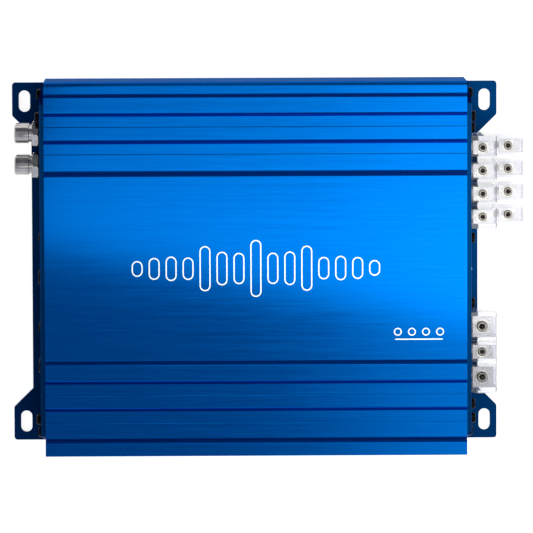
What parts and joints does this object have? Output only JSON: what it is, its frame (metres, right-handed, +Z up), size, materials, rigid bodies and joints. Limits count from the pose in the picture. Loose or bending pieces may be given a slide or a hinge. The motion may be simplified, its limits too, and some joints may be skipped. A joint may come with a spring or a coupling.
{
  "type": "car amplifier",
  "caption": "Flat car audio amplifier: grooved extruded heatsink body, end plates with slotted ears, phono input jacks, level controls and clear stepped screw terminals.",
  "frame": {"origin": "centre of the body on the plane that the amplifier rests on", "axes": "+X towards the output end with the speaker and power terminals, +Z up out of the grooved top"},
  "size_m": [0.2344, 0.1704, 0.048],
  "materials": {
    "blue_anodised": "brushed and anodised",
    "navy_sheet": "satin anodised",
    "black_sheet": "matt powder coat",
    "black_screw": "black oxide",
    "clear_plastic": "polished clear",
    "nickel": "bright nickel plate",
    "tinned_brass": "tin plate",
    "black_washer": "matt",
    "white_plastic": "moulded",
    "red_plastic": "moulded",
    "black_plastic": "moulded",
    "light_lens": "clear moulded",
    "circuit_board": "solder resist",
    "zinc_steel": "zinc plate",
    "silicone_pad": "matt",
    "ferrite": "matt",
    "copper_wire": "enamelled",
    "capacitor_sleeve": "sleeved",
    "film_box": "moulded"
  },
  "bodies": {
    "root": {"heatsink": "blue_anodised", "input_end_plate": "navy_sheet", "output_end_plate": "navy_sheet", "bottom_cover": "black_sheet", "input_plate_screws": "black_screw", "output_plate_screws": "black_screw", "bottom_cover_screws": "black_screw", "speaker_block_fixing_screws": "black_screw", "power_block_fixing_screws": "black_screw", "speaker_terminal_housing": "clear_plastic", "power_terminal_housing": "clear_plastic", "rca_shells": "nickel", "rca_nuts": "nickel", "speaker_terminal_contacts": "tinned_brass", "power_terminal_contacts": "tinned_brass", "rca_centre_contacts": "tinned_brass", "rca_washers": "black_washer", "rca_insulators_left": "white_plastic", "rca_insulators_right": "red_plastic", "rca_jack_housing": "black_plastic", "pot_bodies": "black_plastic", "switch_bodies": "black_plastic", "power_transistors": "black_plastic", "driver_chips": "black_plastic", "power_light": "light_lens", "main_board": "circuit_board", "control_board": "circuit_board", "board_standoffs": "zinc_steel", "board_screws": "zinc_steel", "clamp_bars": "zinc_steel", "clamp_bar_screws": "zinc_steel", "power_light_leads": "zinc_steel", "thermal_pads": "silicone_pad", "transformer_core": "ferrite", "filter_chokes": "ferrite", "transformer_winding": "copper_wire", "storage_capacitors": "capacitor_sleeve", "film_capacitors": "film_box"},
    "speaker_clamp_screw_upper_1": {"speaker_clamp_screw_upper_1": "nickel"},
    "speaker_clamp_screw_upper_2": {"speaker_clamp_screw_upper_2": "nickel"},
    "speaker_clamp_screw_upper_3": {"speaker_clamp_screw_upper_3": "nickel"},
    "speaker_clamp_screw_upper_4": {"speaker_clamp_screw_upper_4": "nickel"},
    "speaker_clamp_screw_lower_1": {"speaker_clamp_screw_lower_1": "nickel"},
    "speaker_clamp_screw_lower_2": {"speaker_clamp_screw_lower_2": "nickel"},
    "speaker_clamp_screw_lower_3": {"speaker_clamp_screw_lower_3": "nickel"},
    "speaker_clamp_screw_lower_4": {"speaker_clamp_screw_lower_4": "nickel"},
    "power_clamp_screw_supply": {"power_clamp_screw_supply": "nickel"},
    "power_clamp_screw_remote": {"power_clamp_screw_remote": "nickel"},
    "power_clamp_screw_ground": {"power_clamp_screw_ground": "nickel"},
    "level_knob_upper_1": {"level_knob_upper_1": "black_plastic"},
    "level_knob_upper_2": {"level_knob_upper_2": "black_plastic"},
    "switch_lever_upper_1": {"switch_lever_upper_1": "black_plastic"},
    "switch_lever_upper_2": {"switch_lever_upper_2": "black_plastic"},
    "level_knob_lower_1": {"level_knob_lower_1": "black_plastic"},
    "level_knob_lower_2": {"level_knob_lower_2": "black_plastic"},
    "switch_lever_lower_1": {"switch_lever_lower_1": "black_plastic"},
    "switch_lever_lower_2": {"switch_lever_lower_2": "black_plastic"}
  },
  "joints": [
    {"name": "speaker_clamp_screw_upper_1_travel", "type": "slide", "parent": "root", "child": "speaker_clamp_screw_upper_1", "axis": [0, 0, -1], "range_m": [0, 0.003]},
    {"name": "speaker_clamp_screw_upper_2_travel", "type": "slide", "parent": "root", "child": "speaker_clamp_screw_upper_2", "axis": [0, 0, -1], "range_m": [0, 0.003]},
    {"name": "speaker_clamp_screw_upper_3_travel", "type": "slide", "parent": "root", "child": "speaker_clamp_screw_upper_3", "axis": [0, 0, -1], "range_m": [0, 0.003]},
    {"name": "speaker_clamp_screw_upper_4_travel", "type": "slide", "parent": "root", "child": "speaker_clamp_screw_upper_4", "axis": [0, 0, -1], "range_m": [0, 0.003]},
    {"name": "speaker_clamp_screw_lower_1_travel", "type": "slide", "parent": "root", "child": "speaker_clamp_screw_lower_1", "axis": [0, 0, -1], "range_m": [0, 0.003]},
    {"name": "speaker_clamp_screw_lower_2_travel", "type": "slide", "parent": "root", "child": "speaker_clamp_screw_lower_2", "axis": [0, 0, -1], "range_m": [0, 0.003]},
    {"name": "speaker_clamp_screw_lower_3_travel", "type": "slide", "parent": "root", "child": "speaker_clamp_screw_lower_3", "axis": [0, 0, -1], "range_m": [0, 0.003]},
    {"name": "speaker_clamp_screw_lower_4_travel", "type": "slide", "parent": "root", "child": "speaker_clamp_screw_lower_4", "axis": [0, 0, -1], "range_m": [0, 0.003]},
    {"name": "power_clamp_screw_supply_travel", "type": "slide", "parent": "root", "child": "power_clamp_screw_supply", "axis": [0, 0, -1], "range_m": [0, 0.004]},
    {"name": "power_clamp_screw_remote_travel", "type": "slide", "parent": "root", "child": "power_clamp_screw_remote", "axis": [0, 0, -1], "range_m": [0, 0.003]},
    {"name": "power_clamp_screw_ground_travel", "type": "slide", "parent": "root", "child": "power_clamp_screw_ground", "axis": [0, 0, -1], "range_m": [0, 0.004]},
    {"name": "level_knob_upper_1_turn", "type": "hinge", "parent": "root", "child": "level_knob_upper_1", "pos_m": [-0.0975, -0.0044, 0.036], "axis": [1, 0, 0], "range_deg": [-140, 140]},
    {"name": "level_knob_upper_2_turn", "type": "hinge", "parent": "root", "child": "level_knob_upper_2", "pos_m": [-0.0975, -0.0451, 0.036], "axis": [1, 0, 0], "range_deg": [-140, 140]},
    {"name": "switch_lever_upper_1_slide", "type": "slide", "parent": "root", "child": "switch_lever_upper_1", "axis": [0, 1, 0], "range_m": [-0.002, 0.002]},
    {"name": "switch_lever_upper_2_slide", "type": "slide", "parent": "root", "child": "switch_lever_upper_2", "axis": [0, 1, 0], "range_m": [-0.002, 0.002]},
    {"name": "level_knob_lower_1_turn", "type": "hinge", "parent": "root", "child": "level_knob_lower_1", "pos_m": [-0.0975, -0.0044, 0.0245], "axis": [1, 0, 0], "range_deg": [-140, 140]},
    {"name": "level_knob_lower_2_turn", "type": "hinge", "parent": "root", "child": "level_knob_lower_2", "pos_m": [-0.0975, -0.0451, 0.0245], "axis": [1, 0, 0], "range_deg": [-140, 140]},
    {"name": "switch_lever_lower_1_slide", "type": "slide", "parent": "root", "child": "switch_lever_lower_1", "axis": [0, 1, 0], "range_m": [-0.002, 0.002]},
    {"name": "switch_lever_lower_2_slide", "type": "slide", "parent": "root", "child": "switch_lever_lower_2", "axis": [0, 1, 0], "range_m": [-0.002, 0.002]}
  ]
}
